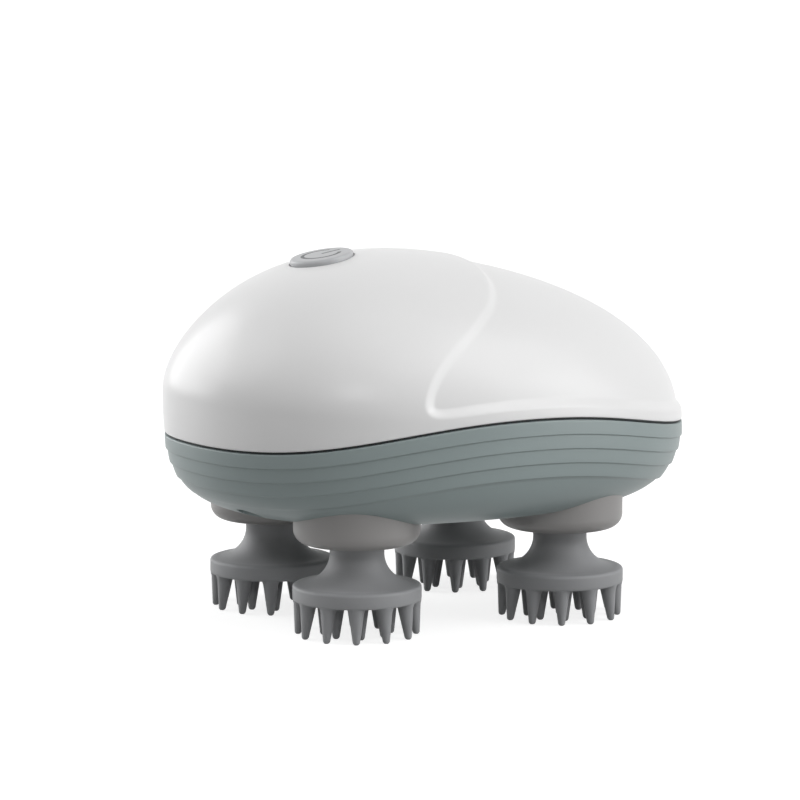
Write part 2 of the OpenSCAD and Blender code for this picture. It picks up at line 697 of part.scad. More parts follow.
// Strap over the motor, with a foot on each side
module motor_clamp() color([0.66, 0.67, 0.69]) {
    foot_y = motor_r + strap_t + foot_l;
    difference() {
        union() {
            along_x(strap_x, worm_y, motor_z) cylinder(h = strap_w, r = motor_r + strap_t);
            translate([strap_x, worm_y - foot_y, plate_top + seat])
                cube([strap_w, 2 * foot_y, motor_z - plate_top - seat]);
        }
        along_x(motor_x, worm_y, motor_z) cylinder(h = motor_l, r = motor_r + slip);
        for (s = [-1, 1]) translate([motor_x, worm_y + s * (motor_r + strap_t + 5) - 5, plate_top + foot_t])
            cube([motor_l, 10, motor_l]);
        translate([motor_x, worm_y - motor_r - slip, plate_top - 1])
            cube([motor_l, 2 * (motor_r + slip), motor_z - plate_top + 1]);
    }
}

module battery_cell() color([0.25, 0.45, 0.7]) along_x(cell_x, cell_y, cell_z) {
    cylinder(h = cell_l - 1.2, r = cell_r);
    translate([0, 0, cell_l - 1.3]) cylinder(h = 1.3, r = 3.2);
}

/* ---- button and board ---- */
module power_button() color([0.68, 0.69, 0.7]) button_frame() {
    proud = 0.7;
    rotate_extrude($fn = 96) polygon(concat(
        [[0, flange_z - stem_l], [1.6, flange_z - stem_l], [1.6, flange_z], [flange_r, flange_z],
         [flange_r, flange_z + flange_t], [button_r, flange_z + flange_t], [button_r, proud - 0.5]],
        [for (a = [15:15:90]) [button_r - 0.6 + 0.6 * cos(a), proud - 0.5 + 0.5 * sin(a)]],
        [[0, proud + 0.15]]));
}

module button_gasket() color([0.15, 0.15, 0.15]) button_frame()
    translate([0, 0, well_z - gasket_t]) difference() {
        cylinder(h = gasket_t - seat, r = well_r - 0.2);
        translate([0, 0, -1]) cylinder(h = 3, r = button_r + button_gap);
    }

module circuit_board() color([0.1, 0.4, 0.25]) button_frame() difference() {
    translate([board_x, -board_w / 2, board_z]) cube([board_l, board_w, board_t - seat]);
    for (p = board_posts) translate([p[0], p[1], board_z - 1]) cylinder(h = 4, r = 1.1);
}

module tact_switch() color([0.12, 0.12, 0.13]) button_frame() difference() {
    translate([-3, -3, board_z + board_t]) cube([6, 6, switch_h - board_t]);
    translate([0, 0, plunger_top - 2.2 - button_travel]) cylinder(h = 8, r = 1.7 + slip);
}

module switch_plunger() color([0.85, 0.3, 0.2]) button_frame()
    translate([0, 0, plunger_top - 2]) cylinder(h = 2, r = 1.7);

/* ---- charging port ---- */
module charge_socket() color([0.1, 0.1, 0.11]) difference() {
    union() {
        along_x(port_x - 0.4 - port_bore_l - 1.6, 0, port_z)
            cylinder(h = port_bore_l + 1.6, r = port_bore_r + 1.45);
        translate([port_x - 5 - 2.2, -5.5, port_z - 4]) cube([2.15, 11, 8]);
    }
    along_x(port_x - 0.4 - port_bore_l, 0, port_z) cylinder(h = port_bore_l + 5, r = port_bore_r);
}

module port_cover() color([0.45, 0.5, 0.5]) {
    r = cover_t / 2;
    difference() {
        union() {
            translate([cover_x, -cover_w / 2, hinge[2]]) cube([cover_t, cover_w, cover_h - r - 2]);
            translate([cover_x, -cover_w / 2 + 2, hinge[2]]) cube([cover_t, cover_w - 4, cover_h - r]);
            for (s = [-1, 1]) along_x(cover_x, s * (cover_w / 2 - 2), cover_z + cover_h - 2)
                cylinder(h = cover_t, r = 2);
            translate(hinge) rotate([90, 0, 0]) cylinder(h = cover_w, r = r, center = true);
            translate(hinge) rotate([90, 0, 0])
                cylinder(h = cover_w + 2 * trunnion_l, r = trunnion_r, center = true);
        }
        // finger nail notch
        translate([cover_x + cover_t, 0, cover_z + cover_h]) rotate([90, 0, 0])
            cylinder(h = 5, r = 0.7, center = true);
    }
}

/* ---- screws: shank radius, length, head radius and height ---- */
cover_screw = [1.1, plate_t + 6, 2.6, 1.5];
shell_screw = [1.4, boss_joint - boss_shelf + 8, 2.8, 1.8];
board_screw = [0.9, board_t + 4.4, 1.9, 1.1];
module screw(s) {
    cylinder(h = s[1], r = s[0]);
    translate([0, 0, -s[3]]) cylinder(h = s[3] + eps, r = s[2]);
}

module cover_screws() color([0.75, 0.76, 0.78]) for (p = posts)
    translate([p[0], p[1], plate_top + seat]) mirror([0, 0, 1]) screw(cover_screw);

module shell_screws() color([0.75, 0.76, 0.78]) for (p = shell_bosses)
    translate([p[0], p[1], boss_shelf - seat]) screw(shell_screw);

module board_screws() color([0.75, 0.76, 0.78]) button_frame() for (p = board_posts)
    translate([p[0], p[1], board_z - seat]) screw(board_screw);

upper_shell();
lower_shell();
seam_gasket();
collar(front_left);  // collar_front_left
collar(front_right);  // collar_front_right
collar(rear_left);  // collar_rear_left
collar(rear_right);  // collar_rear_right
bush(front_left);  // bush_front_left
bush(front_right);  // bush_front_right
bush(rear_left);  // bush_rear_left
bush(rear_right);  // bush_rear_right
seal(front_left);  // seal_front_left
seal(front_right);  // seal_front_right
seal(rear_left);  // seal_rear_left
seal(rear_right);  // seal_rear_right
gear_cover();
gear_axle();
drive_gear();
rotor_shaft();
worm();
armature();
motor_can();
motor_magnets();
motor_end_cap();
motor_clamp();
battery_cell();
circuit_board();
tact_switch();
switch_plunger();
power_button();
button_gasket();
charge_socket();
port_cover();
cover_screws();
shell_screws();
board_screws();
head_gear(front_left);  // gear_front_left
head_gear(front_right);  // gear_front_right
head_gear(rear_left);  // gear_rear_left
head_gear(rear_right);  // gear_rear_right
spindle(front_left);  // spindle_front_left
spindle(front_right);  // spindle_front_right
spindle(rear_left);  // spindle_rear_left
spindle(rear_right);  // spindle_rear_right
hub(front_left);  // hub_front_left
hub(front_right);  // hub_front_right
hub(rear_left);  // hub_rear_left
hub(rear_right);  // hub_rear_right
head(front_left);  // head_front_left
head(front_right);  // head_front_right
head(rear_left);  // head_rear_left
head(rear_right);  // head_rear_right
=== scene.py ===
"""Looks of an electric scalp massager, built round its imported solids. Sizes are in millimetres
until mesh_object() turns them into metres. -X is the front with the button, -Y the left side."""

import json
import math

import bpy
import numpy as np
from mathutils import Matrix, Vector
from mathutils.kdtree import KDTree


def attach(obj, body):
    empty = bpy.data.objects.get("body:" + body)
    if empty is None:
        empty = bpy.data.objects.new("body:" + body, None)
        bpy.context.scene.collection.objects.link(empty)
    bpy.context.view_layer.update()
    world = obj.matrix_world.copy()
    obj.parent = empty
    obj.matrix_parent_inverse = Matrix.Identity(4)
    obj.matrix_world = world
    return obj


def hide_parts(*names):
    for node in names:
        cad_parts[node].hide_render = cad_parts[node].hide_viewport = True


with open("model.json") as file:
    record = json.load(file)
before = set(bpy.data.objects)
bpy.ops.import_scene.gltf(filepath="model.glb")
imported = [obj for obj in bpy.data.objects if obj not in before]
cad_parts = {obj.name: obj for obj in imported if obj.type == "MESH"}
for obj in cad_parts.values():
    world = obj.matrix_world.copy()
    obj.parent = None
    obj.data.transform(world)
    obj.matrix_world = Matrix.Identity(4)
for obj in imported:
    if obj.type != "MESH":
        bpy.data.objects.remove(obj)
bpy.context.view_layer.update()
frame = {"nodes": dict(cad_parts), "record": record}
MM = 0.001

# ---------------------------------------------------------------- sizes, as the solids have them
BODY_L, BODY_W, CROWN_Z, BASE_Z = 124.0, 92.0, 83.6, 24.5
CROWN_LEAD, WAIST_Z, WAIST_TILT, WALL = 12.6, 48.0, 4.8, 2.4
SEAM_Z, SEAM_WAVE, SEAM_RIPPLE, SEAM_TILT, SEAM_GAP = 44.9, 3.1, 1.0, 0.1, 0.5
PLAN_N, DOME_N, LEAN_N = 2.18, 1.9, 3.14
FALL_N, FALL_TILT, FLOOR_N = 2.56, 0.38, 7.3
PANEL_DROP, RIM_H, PANEL_TOP_X, PANEL_LOW_X, PANEL_FALL = 1.0, 3.1, 7.0, 25.5, 14.0
BAND_N, BAND_H, BAND_STEP = 4, 3.2, 0.35

DRIVE_X, GEAR_C, FRONT_Y, REAR_Y = -2.2, 33.6, 20.0, 23.5
FRONT_X = DRIVE_X - math.sqrt(GEAR_C**2 - FRONT_Y**2)
REAR_X = DRIVE_X + math.sqrt(GEAR_C**2 - REAR_Y**2)
CORNERS = {
    "front_left": (FRONT_X, -FRONT_Y),
    "front_right": (FRONT_X, FRONT_Y),
    "rear_left": (REAR_X, -REAR_Y),
    "rear_right": (REAR_X, REAR_Y),
}
DISC_R, DISC_T, FINGER_L, NECK_R = 14.4, 3.5, 7.9, 6.1
FINGER_BASE_R, FINGER_TIP_R, OUTER_FINGERS, INNER_FINGERS = 1.9, 0.85, 12, 8
COLLAR_R, COLLAR_Z, COLLAR_TOP = 14.2, 20.6, 34.0

BUTTON_LEAD, BUTTON_LEAN, BUTTON_R, BUTTON_GAP = 27.0, 10.0, 7.2, 0.3
WELL_WALL, WELL_DEPTH = 3.2, 1.8  # the sleeve round the button, and how far it hangs under the wall
PORT_Z, COVER_W, COVER_H, COVER_T = 36.6, 12.0, 7.0, 1.6
PORT_X = BODY_L / 2 - 3.3
BOSS_R, BOSS_BORE_R, BOSS_SHELF = 4.4, 3.1, BASE_Z + 6.6  # bosses for the screws from below
BUSH_SEAT_R, FLANGE_SEAT_R = 4.02, 8.6  # what a collar holds its bush in

COLUMNS = 384  # points round the bowl
DOME_COLUMNS, DOME_ROWS = 720, 230
EDGE_POINTS = 3000  # points round the panel's edge
CORNER_SPREAD = 4.0  # how softly the panel's corners turn


# ---------------------------------------------------------------- the housing's surface
def signed_pow(v, e):
    return np.sign(v) * np.abs(v) ** e


def waist(t):
    return WAIST_Z - WAIST_TILT * np.cos(t)


def seam(t):
    return SEAM_Z - SEAM_TILT * np.cos(t) - SEAM_WAVE * np.cos(2 * t) + SEAM_RIPPLE * np.cos(4 * t)


def skin(t, z, g=0.0):
    """The housing's points at plan angles t and heights z, drawn in by g."""
    w = waist(t)
    up = np.clip((z - w) / (CROWN_Z - g - w), 0, 1)
    low = np.clip((w - z) / (w - BASE_Z - g), 0, 1)
    bowl = (1 - low ** (FALL_N - FALL_TILT * np.cos(t))) ** (1 / FLOOR_N)
    share = np.where(z > w, (1 - up**DOME_N) ** (1 / DOME_N), bowl)
    x = (BODY_L / 2 - g) * signed_pow(np.cos(t), 2 / PLAN_N) * share - CROWN_LEAD * up**LEAN_N
    y = (BODY_W / 2 - g) * signed_pow(np.sin(t), 2 / PLAN_N) * share
    return np.stack([x, y, np.broadcast_to(z, np.shape(x))], axis=-1)


def dome(q, g=0.0):
    """The dome's points for places q in a unit disc: the crown in its middle, the seam round it."""
    t = np.arctan2(q[..., 1], q[..., 0])
    u = 1 - np.minimum(1, np.hypot(q[..., 0], q[..., 1]))
    low = seam(t) + SEAM_GAP / 2
    return skin(t, low + (CROWN_Z - g - low) * np.sin(np.pi / 2 * u), g)


def disc_place(t, z):
    """The inverse of dome()'s disc, for a plan angle and a height."""
    low = seam(t) + SEAM_GAP / 2
    rho = 1 - np.arcsin(np.clip((z - low) / (CROWN_Z - low), 0, 1)) / (np.pi / 2)
    return np.stack([rho * np.cos(t), rho * np.sin(t)], axis=-1)


def lengths(points):
    """Distance along a chain of points, from its start."""
    steps = np.linalg.norm(np.diff(points, axis=0), axis=-1)
    return np.concatenate([[0], np.cumsum(steps)])


def resample(values, at, where):
    return np.stack([np.interp(where, at, values[:, k]) for k in range(values.shape[1])], axis=-1)


def panel_edge():
    """The closed edge of the sunk grip panel, as places in the dome's disc."""
    a = np.array([PANEL_TOP_X, CROWN_Z + 1])
    b = np.array([PANEL_TOP_X - 1.5, CROWN_Z - PANEL_FALL])
    c = np.array([-PANEL_LOW_X, CROWN_Z - PANEL_FALL - 2])
    d = np.array([-PANEL_LOW_X, seam(math.radians(110)) + RIM_H - 1])
    places = []
    for u in np.linspace(0, 1, 400):
        x, z = (1 - u) ** 3 * a + 3 * (1 - u) ** 2 * u * b + 3 * (1 - u) * u * u * c + u**3 * d
        near, far = 0.0, math.pi
        if z >= CROWN_Z or skin(0.0, z)[0] < x:
            continue
        for _ in range(40):
            t = (near + far) / 2
            near, far = (t, far) if skin(t, z)[0] > x else (near, t)
        if z < seam(t) + RIM_H:
            break
        places.append(disc_place(t, z))
    ledge = np.linspace(t, 0, 300)
    half = np.vstack([places, disc_place(ledge, seam(ledge) + RIM_H)])
    loop = np.vstack([half, (half * (1, -1))[-2:0:-1]])
    loop = np.vstack([loop, loop[:1]])
    along = lengths(dome(loop))
    even = np.linspace(0, along[-1], EDGE_POINTS, endpoint=False)
    loop = resample(loop, along, even)
    spread = CORNER_SPREAD / (along[-1] / len(loop))
    reach = int(4 * spread)
    kernel = np.exp(-0.5 * (np.arange(-reach, reach + 1) / spread) ** 2)
    kernel /= kernel.sum()
    wrapped = np.vstack([loop[-reach:], loop, loop[:reach]])
    smooth = np.stack([np.convolve(wrapped[:, k], kernel, "valid") for k in (0, 1)], axis=-1)
    return smooth


# ---------------------------------------------------------------- meshes
def mesh_object(name, points, faces):
    mesh = bpy.data.meshes.new(name)
    mesh.from_pydata([tuple(p) for p in np.asarray(points) * MM], [], faces)
    mesh.validate()
    obj = bpy.data.objects.new(name, mesh)
    bpy.context.scene.collection.objects.link(obj)
    smooth(obj)
    return obj


def smooth(obj, angle=35):
    mesh = obj.data
    mesh.polygons.foreach_set("use_smooth", [True] * len(mesh.polygons))
    mesh.set_sharp_from_angle(angle=math.radians(angle))
    mesh.update()


def rings_object(name, rings, first=None, last=None, closed=False):
    """A skin over rings of equal length, closed by a tip at either end, or joined end to end."""
    n, m = len(rings[0]), len(rings)
    points = np.vstack(rings)
    faces = []
    for i in range(m if closed else m - 1):
        a, b = i * n, (i + 1) % m * n
        faces += [(a + k, a + (k + 1) % n, b + (k + 1) % n, b + k) for k in range(n)]
    if first is not None:
        points = np.vstack([points, [first]])
        faces += [((k + 1) % n, k, len(points) - 1) for k in range(n)]
    if last is not None:
        points = np.vstack([points, [last]])
        a = (m - 1) * n
        faces += [(a + k, a + (k + 1) % n, len(points) - 1) for k in range(n)]
    return mesh_object(name, points, faces)


def lathe_points(profile, count, turn=0.0):
    angles = turn + np.arange(count) * 2 * np.pi / count
    ring = np.stack([np.cos(angles), np.sin(angles)], axis=-1)
    return [np.column_stack([r * ring, np.full(count, z)]) for r, z in profile]


def lathe(name, profile, count=96, place=(0, 0, 0), closed=False):
    """A body turned round a vertical axis at place, from (radius, height) pairs."""
    tips = [None, None]
    inner = list(profile)
    if not closed:
        if inner[0][0] == 0:
            tips[0] = np.array([0, 0, inner.pop(0)[1]]) + place
        if inner[-1][0] == 0:
            tips[1] = np.array([0, 0, inner.pop()[1]]) + place
    rings = [r + np.array(place) for r in lathe_points(inner, count)]
    return rings_object(name, rings, tips[0], tips[1], closed)


def arc(cx, cz, r, start, end, steps=8):
    """Points (radius, height) on a round corner, from angle start to angle end in degrees."""
    return [
        (cx + r * math.cos(math.radians(a)), cz + r * math.sin(math.radians(a)))
        for a in np.linspace(start, end, steps)
    ]


def joined(objects):
    bpy.ops.object.select_all(action="DESELECT")
    for o in objects:
        o.select_set(True)
    bpy.context.view_layer.objects.active = objects[0]
    bpy.ops.object.join()
    return objects[0]


def apply_modifiers(obj):
    graph = bpy.context.evaluated_depsgraph_get()
    mesh = bpy.data.meshes.new_from_object(obj.evaluated_get(graph))
    obj.modifiers.clear()
    obj.data = mesh


def boolean(obj, tool, operation):
    m = obj.modifiers.new(operation, "BOOLEAN")
    m.operation, m.object, m.solver = operation, tool, "MANIFOLD"
    apply_modifiers(obj)
    bpy.data.objects.remove(tool)
    smooth(obj)


def bevel(obj, width, segments=3, angle=30):
    m = obj.modifiers.new("bevel", "BEVEL")
    m.width, m.segments, m.limit_method = width * MM, segments, "ANGLE"
    m.angle_limit = math.radians(angle)
    m.harden_normals = True
    apply_modifiers(obj)
    smooth(obj)


def cylinder(r, z0, z1, place=(0, 0), count=96):
    return lathe("tool", [(0, z0), (r, z0), (r, z1), (0, z1)], count, (*place, 0))


def block(lo, hi, name="tool"):
    (x0, y0, z0), (x1, y1, z1) = lo, hi
    points = [(x, y, z) for z in (z0, z1) for y in (y0, y1) for x in (x0, x1)]
    faces = [(0, 2, 3, 1), (4, 5, 7, 6), (0, 1, 5, 4), (2, 6, 7, 3), (0, 4, 6, 2), (1, 3, 7, 5)]
    return mesh_object(name, points, faces)


def turned(obj, matrix):
    """Bakes a placing matrix, in millimetres, into an object's mesh."""
    m = matrix.copy()
    m.translation = m.translation * MM
    obj.data.transform(m)
    obj.data.update()
    return obj


# ---------------------------------------------------------------- materials
def node_material(name, color, roughness, specular=0.5, coat=0.0, metallic=0.0, grain=900.0,
                  bump=0.02, tint=0.03, rough_spread=0.06, coat_rough=0.08):
    """A moulded or turned surface: slow tint changes, a fine grain and uneven roughness."""
    mat = bpy.data.materials.new(name)
    mat.use_nodes = True
    nodes, links = mat.node_tree.nodes, mat.node_tree.links
    shader = nodes["Principled BSDF"]
    shader.inputs["Metallic"].default_value = metallic
    shader.inputs["Specular IOR Level"].default_value = specular
    shader.inputs["Coat Weight"].default_value = coat
    shader.inputs["Coat Roughness"].default_value = coat_rough
    coords = nodes.new("ShaderNodeTexCoord")
    slow = nodes.new("ShaderNodeTexNoise")
    slow.inputs["Scale"].default_value = 45.0
    slow.inputs["Detail"].default_value = 3.0
    ramp = nodes.new("ShaderNodeValToRGB")
    ramp.color_ramp.elements[0].position = 0.3
    ramp.color_ramp.elements[1].position = 0.7
    ramp.color_ramp.elements[0].color = (*[c * (1 - tint) for c in color], 1)
    ramp.color_ramp.elements[1].color = (*[min(1, c * (1 + tint)) for c in color], 1)
    links.new(coords.outputs["Object"], slow.inputs["Vector"])
    links.new(slow.outputs["Fac"], ramp.inputs["Fac"])
    links.new(ramp.outputs["Color"], shader.inputs["Base Color"])
    fine = nodes.new("ShaderNodeTexNoise")
    fine.inputs["Scale"].default_value = grain
    fine.inputs["Detail"].default_value = 2.0
    spread = nodes.new("ShaderNodeMapRange")
    spread.inputs["To Min"].default_value = max(0, roughness - rough_spread)
    spread.inputs["To Max"].default_value = roughness + rough_spread
    height = nodes.new("ShaderNodeBump")
    height.inputs["Strength"].default_value = bump
    height.inputs["Distance"].default_value = 0.0002
    links.new(coords.outputs["Object"], fine.inputs["Vector"])
    links.new(fine.outputs["Fac"], spread.inputs["Value"])
    links.new(spread.outputs["Result"], shader.inputs["Roughness"])
    links.new(fine.outputs["Fac"], height.inputs["Height"])
    links.new(height.outputs["Normal"], shader.inputs["Normal"])
    return mat


def srgb(r, g, b):
    return [((v / 255 + 0.055) / 1.055) ** 2.4 if v > 10 else v / 255 / 12.92 for v in (r, g, b)]


MATERIALS = {
    "upper_shell": node_material("gloss_white", srgb(240, 240, 240), 0.3, specular=0.4, grain=60,
                                 bump=0.01, tint=0.006, rough_spread=0.02),
    "lower_shell": node_material("satin_grey_green", srgb(141, 153, 153), 0.42, specular=0.45,
                                 grain=2600, bump=0.05, tint=0.02),
    "seam_gasket": node_material("black_elastomer", srgb(34, 36, 38), 0.6, grain=1500, bump=0.05),
    "collar": node_material("satin_warm_grey", srgb(146, 144, 143), 0.45, grain=2600, bump=0.04),
    "head": node_material("grey_silicone", srgb(148, 149, 151), 0.55, specular=0.4, grain=1800,
                          bump=0.06, tint=0.03),
    "power_button": node_material("light_grey_button", srgb(186, 187, 189), 0.4, grain=2600,
                                  bump=0.04),
    "button_symbol": node_material("symbol_grey", srgb(92, 94, 96), 0.5, grain=2600, bump=0.04),
    "port_cover": node_material("cover_silicone", srgb(128, 140, 140), 0.55, grain=1800, bump=0.06),
    "bush": node_material("sintered_bronze", srgb(176, 134, 84), 0.4, metallic=1, grain=3200, bump=0.1),
    "seal": node_material("black_nitrile", srgb(38, 38, 40), 0.6, grain=1500, bump=0.05),
    "hub": node_material("natural_nylon", srgb(214, 212, 202), 0.45, grain=2000, bump=0.03),
    "steel": node_material("ground_steel", srgb(186, 188, 192), 0.28, metallic=1, grain=4000,
                           bump=0.05),
    "acetal": node_material("natural_acetal", srgb(232, 228, 214), 0.35, grain=1600, bump=0.02),
    "armature": node_material("laminated_core", srgb(150, 112, 84), 0.45, metallic=0.7, grain=3000,
                              bump=0.15),
    "motor_can": node_material("zinc_plate", srgb(178, 180, 184), 0.32, metallic=1, grain=2200,
                               bump=0.04),
    "motor_magnets": node_material("ferrite", srgb(58, 58, 62), 0.55, grain=2600, bump=0.1),
    "black_plastic": node_material("black_moulding", srgb(40, 40, 43), 0.45, grain=2600, bump=0.05),
    "battery_cell": node_material("shrink_sleeve", srgb(52, 96, 150), 0.3, coat=0.2, grain=500,
                                  bump=0.04),
    "gear_cover": node_material("natural_moulding", srgb(205, 207, 210), 0.45, grain=2600, bump=0.04),
    "circuit_board": node_material("solder_resist", srgb(28, 92, 58), 0.35, coat=0.2, grain=1200,
                                   bump=0.04, tint=0.08),
    "switch_plunger": node_material("red_plunger", srgb(190, 70, 56), 0.4, grain=2600, bump=0.04),
}
SHARED = {
    "gear_axle": "steel", "rotor_shaft": "steel", "spindle": "steel", "screws": "steel",
    "motor_clamp": "steel", "drive_gear": "acetal", "gear": "acetal", "worm": "acetal",
    "motor_end_cap": "black_plastic", "tact_switch": "black_plastic",
    "charge_socket": "black_plastic", "button_gasket": "seal",
}


def material(slot):
    return MATERIALS[SHARED.get(slot, slot)]


def place_piece(obj, body, slot, *nodes, look=None):
    obj.data.materials.clear()
    obj.data.materials.append(MATERIALS[look] if look else material(slot))
    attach(obj, body)
    if nodes:
        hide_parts(*nodes)
    return obj


def dress_nodes():
    """Gives every carried-over solid the look of its record slot."""
    for part in frame["record"]["subparts"]:
        obj = frame["nodes"][part["node"]]
        obj.data.materials.clear()
        obj.data.materials.append(material(part["material_slot"]))


# ---------------------------------------------------------------- upper shell
def spaced(lo, hi, count, density):
    """Places from lo to hi, closer together where the density is higher."""
    fine = np.linspace(lo, hi, 4001)
    share = np.cumsum(density(fine))
    return np.interp(np.linspace(share[0], share[-1], count), share, fine)


def column_density(t):
    """More columns where the panel's edge climbs the flank."""
    side = np.abs((t + np.pi) % (2 * np.pi) - np.pi)
    return 1 + 1.6 * np.exp(-(((side - 1.6) / 0.6) ** 2))


def row_density(u):
    """More rows at the ledge over the seam."""
    return 1 + 2.2 * np.exp(-(((u - 0.065) / 0.045) ** 2))


def panel_depth(d):
    """How deep the panel lies at distance d inside its edge: a round lip, then a soft hollow."""
    u = np.clip((d + 0.9) / 2.7, 0, 1)
    return PANEL_DROP * u * u * (3 - 2 * u)


def panel_distance():
    """A function that tells how far dome points lie inside the panel's edge."""
    edge = panel_edge()
    points = dome(edge)
    along = np.roll(edge, -1, axis=0) - np.roll(edge, 1, axis=0)
    inward = np.stack([along[:, 1], -along[:, 0]], axis=-1)
    inward /= np.linalg.norm(inward, axis=1)[:, None]
    step = dome(edge + 0.002 * inward) - points
    chain = np.roll(points, -1, axis=0) - np.roll(points, 1, axis=0)
    chain /= np.linalg.norm(chain, axis=1)[:, None]
    step -= (step * chain).sum(1)[:, None] * chain
    step /= np.linalg.norm(step, axis=1)[:, None]
    tree = KDTree(len(points))
    for i, q in enumerate(points):
        tree.insert(q, i)
    tree.balance()

    def distance(p):
        near = np.array([tree.find(q)[1] for q in p])
        return ((p - points[near]) * step[near]).sum(1)

    return distance


def button_matrix():
    """Places the button's own frame on the dome: its rim at height 0, its axis along Z."""
    zs = np.linspace(CROWN_Z - 4, CROWN_Z - 0.001, 400)
    x = skin(np.full(400, math.pi), zs)[:, 0]
    z = np.interp(-BUTTON_LEAD, x, zs)
    lean = Matrix.Rotation(math.radians(-BUTTON_LEAN), 4, "Y")
    return Matrix.Translation((-BUTTON_LEAD, 0, z)) @ lean


def upper_shell():
    """The dome: a closed skin with the sunk panel in it, then the button's sleeve and hole."""
    t = spaced(0, 2 * np.pi, DOME_COLUMNS + 1, column_density)[:-1]
    lift = seam(t) + SEAM_GAP / 2
    distance = panel_distance()
    rings = [skin(t, lift, WALL), skin(t, lift, 0.6)]
    rings += [skin(t, lift + 0.02, 0.2), skin(t, lift + 0.1, 0.06)]
    for u in spaced(0, 1, DOME_ROWS, row_density)[1:-1]:
        q = (1 - u) * np.stack([np.cos(t), np.sin(t)], axis=-1)
        rings.append(dome(q, panel_depth(distance(dome(q)))))
    inner = []
    for u in np.linspace(0, 1, 30)[1:-1]:
        inner.append(skin(t, lift + (CROWN_Z - WALL - lift) * np.sin(np.pi / 2 * u), WALL))
    inner_crown = np.array([-CROWN_LEAD, 0, CROWN_Z - WALL])
    crown = np.array([-CROWN_LEAD, 0, CROWN_Z])
    shell = rings_object("upper_shell_skin", inner[::-1] + rings, inner_crown, crown)
    m = button_matrix()
    well = turned(cylinder(BUTTON_R + WELL_WALL, -WALL - WELL_DEPTH, -WALL + 0.8), m)
    boolean(shell, well, "UNION")
    hole = turned(cylinder(BUTTON_R + BUTTON_GAP, -12, 5, count=128), m)
    boolean(shell, hole, "DIFFERENCE")
    return place_piece(shell, "housing", "upper_shell", "upper_shell")


# ---------------------------------------------------------------- lower shell
def band_fade(t, d):
    """1 where a band has died out: the lowest one does so towards the front."""
    return np.clip((d - 3.2 * BAND_H) / BAND_H, 0, 1) * np.clip(-np.cos(t) * 1.6 - 0.5, 0, 1)


def band_rows():
    """(distance below the seam's joint, share of the step) down the lapped bands."""
    rows = [(0.0, 0.0), (0.1, 0.0)]
    for i in range(BAND_N):
        top = i * BAND_H
        for u in (0.12, 0.25, 0.4, 0.55, 0.7, 0.82, 0.9, 0.95):
            rows.append((top + u * BAND_H, u))
        rows += [(top + 0.985 * BAND_H, 0.98), (top + BAND_H, 0.86)]
        rows += [(top + BAND_H + 0.05, 0.35), (top + BAND_H + 0.12, 0.0)]
    return rows


def bowl_skin():
    """The bowl's closed skin, with its lapped bands outside and a smooth inside."""
    t = -np.linspace(0, 2 * np.pi, COLUMNS, endpoint=False)
    top = seam(t) - SEAM_GAP / 2
    rings = [skin(t, top, WALL), skin(t, top, 0.6)]
    rings += [skin(t, top - 0.02, 0.18), skin(t, top - 0.08, 0.05)]
    for d, share in band_rows()[1:]:
        rings.append(skin(t, top - d, -BAND_STEP * share * (1 - band_fade(t, d))))
    low = top - BAND_N * BAND_H - 0.12
    for u in np.linspace(0, 1, 22)[1:-1]:
        rings.append(skin(t, low - (low - BASE_Z) * np.sin(np.pi / 2 * u)))
    shell_bottom = np.array([0, 0, BASE_Z])
    floor = np.array([0, 0, BASE_Z + WALL])
    rings = rings[::-1]
    for u in np.linspace(0, 1, 14)[1:-1]:
        rings.append(skin(t, top - (top - BASE_Z - WALL) * np.sin(np.pi / 2 * u), WALL))
    return rings_object("lower_shell_skin", rings, shell_bottom, floor)


def bowl_solid(g):
    """The bowl up to the seam as one solid, drawn in by g."""
    t = -np.linspace(0, 2 * np.pi, 128, endpoint=False)
    top = seam(t) - SEAM_GAP / 2
    rings = []
    for u in np.linspace(0.97, 0, 24):
        rings.append(skin(t, top - (top - BASE_Z - g) * np.sin(np.pi / 2 * u), g))
    bottom, middle = np.array([0, 0, BASE_Z + g]), np.array([0, 0, SEAM_Z - 0.3])
    return rings_object("tool", rings, bottom, middle)


def seam_gasket():
    t = np.linspace(0, 2 * np.pi, COLUMNS, endpoint=False)
    half = SEAM_GAP / 2 - 0.05
    rings = []
    for g, h in ((0.5, -half), (0.4, 0), (0.5, half), (WALL - 0.3, half), (WALL - 0.3, -half)):
        p = skin(t, seam(t), g)
        rings.append(p + (0, 0, h))
    ring = rings_object("seam_ring", rings, closed=True)
    return place_piece(ring, "housing", "seam_gasket", "seam_gasket")


SCREWS = [(x * BODY_L, s * y * BODY_W) for x, y in ((-0.4, 0.098), (0.376, 0.114)) for s in (-1, 1)]
HINGE = (PORT_X + 0.2 + COVER_T / 2, PORT_Z - COVER_H / 2 + COVER_T / 2)


def along_y(obj, x, z):
    return turned(obj, Matrix.Translation((x, 0, z)) @ Matrix.Rotation(math.pi / 2, 4, "X"))


def along_x(obj, x, y, z):
    return turned(obj, Matrix.Translation((x, y, z)) @ Matrix.Rotation(math.pi / 2, 4, "Y"))


